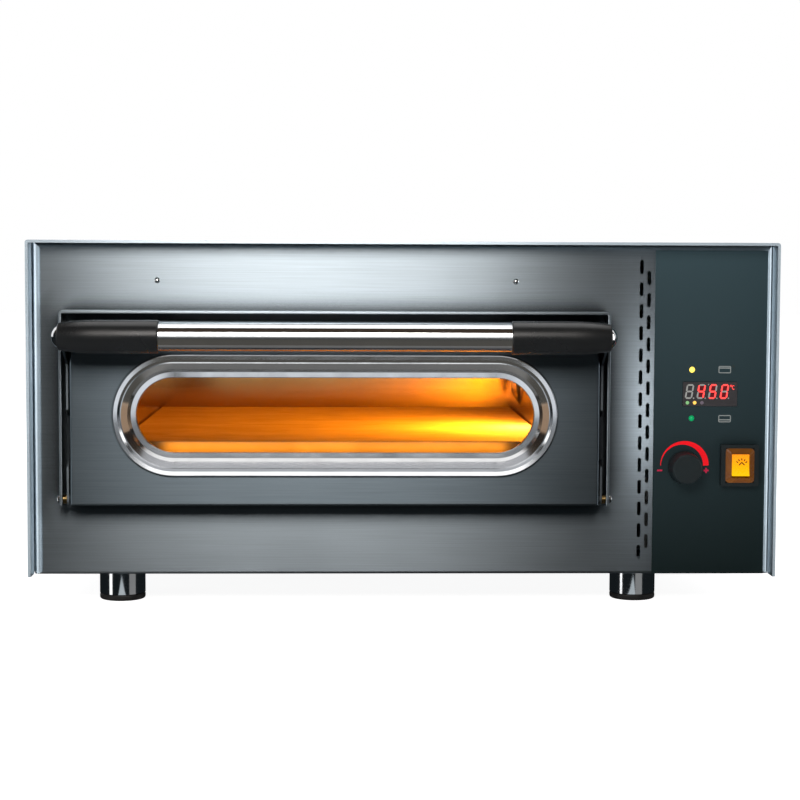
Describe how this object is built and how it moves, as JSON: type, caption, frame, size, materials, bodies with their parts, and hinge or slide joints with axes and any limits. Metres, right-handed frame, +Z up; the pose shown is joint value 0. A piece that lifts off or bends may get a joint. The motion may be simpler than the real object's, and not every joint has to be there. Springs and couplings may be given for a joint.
{
  "type": "electric pizza oven",
  "caption": "Countertop electric pizza oven: stainless casing, drop-down glazed door with bar handle, stone-floored chamber, side control panel with display, knob and rocker switch.",
  "frame": {"origin": "centre of the whole footprint, from the front of the handle to the back of the casing, on the surface that the feet stand on", "axes": "+X to the right of a person who faces the door, along the hinge; +Y from the door to the back; +Z up"},
  "size_m": [0.8, 0.6958, 0.393],
  "materials": {
    "brushed_steel": "satin",
    "bright_steel": "polished",
    "brass": "satin",
    "chamber_steel": "satin",
    "baking_stone": "matte",
    "heater_sheath": "matte",
    "mineral_wool": "matte",
    "lamp_glass": "gloss",
    "lamp_bulb": "gloss",
    "graphite_panel": "satin",
    "black_plastic": "satin",
    "grey_plastic": "matte",
    "display_black": "gloss",
    "yellow_lens": "gloss",
    "green_lens": "gloss",
    "amber_plastic": "gloss",
    "amber_rocker": "gloss",
    "foot_rubber": "matte",
    "heat_seal": "matte",
    "window_glass": "gloss"
  },
  "bodies": {
    "oven": {"outer_cover": "brushed_steel", "base_pan": "brushed_steel", "rear_panel": "brushed_steel", "rear_screws": "bright_steel", "divider_panel": "brushed_steel", "front_fascia": "brushed_steel", "fascia_screws": "bright_steel", "door_surround": "brushed_steel", "hinge_screws": "bright_steel", "hinge_bushes": "brass", "chamber_liner": "chamber_steel", "chamber_bearers": "chamber_steel", "stone_rails": "chamber_steel", "baking_stone": "baking_stone", "upper_heaters": "heater_sheath", "lower_heaters": "heater_sheath", "heater_supports": "chamber_steel", "insulation_left": "mineral_wool", "insulation_right": "mineral_wool", "insulation_top": "mineral_wool", "insulation_bottom": "mineral_wool", "insulation_rear": "mineral_wool", "lamp_housing": "bright_steel", "lamp_glass": "lamp_glass", "lamp_bulb": "lamp_bulb", "temperature_probe": "bright_steel", "control_panel": "graphite_panel", "thermostat_module": "black_plastic", "display_lens": "display_black", "heat_indicator": "yellow_lens", "power_indicator": "green_lens", "regulator_body": "black_plastic", "switch_bezel": "black_plastic", "switch_collar": "amber_plastic", "switch_body": "black_plastic", "electrical_tray": "brushed_steel", "contactor": "grey_plastic", "terminal_block": "grey_plastic", "cable_gland": "black_plastic", "foot_tubes": "bright_steel", "foot_pads": "foot_rubber", "foot_bolts": "bright_steel"},
    "door": {"door_outer_panel": "brushed_steel", "door_inner_panel": "brushed_steel", "door_insulation": "mineral_wool", "door_seal": "heat_seal", "window_trim": "bright_steel", "window_seal": "heat_seal", "window_glass": "window_glass", "window_sleeve": "brushed_steel", "side_plate_left": "brushed_steel", "side_plate_right": "brushed_steel", "handle_tube": "bright_steel", "handle_grip_left": "black_plastic", "handle_grip_right": "black_plastic", "handle_cap_left": "bright_steel", "handle_cap_right": "bright_steel"},
    "knob": {"regulator_knob": "black_plastic", "regulator_shaft": "bright_steel"},
    "rocker": {"switch_rocker": "amber_rocker"}
  },
  "joints": [
    {"name": "door_hinge", "type": "hinge", "parent": "oven", "child": "door", "pos_m": [-0.07312, -0.2699, 0.1185], "axis": [1, 0, 0], "range_deg": [0, 90]},
    {"name": "knob_turn", "type": "hinge", "parent": "oven", "child": "knob", "pos_m": [0.30433, -0.2583, 0.1505], "axis": [0, 1, 0], "range_deg": [0, 270]},
    {"name": "rocker_tip", "type": "hinge", "parent": "oven", "child": "rocker", "pos_m": [0.36343, -0.2537, 0.1533], "axis": [1, 0, 0], "range_deg": [0, 14]}
  ]
}
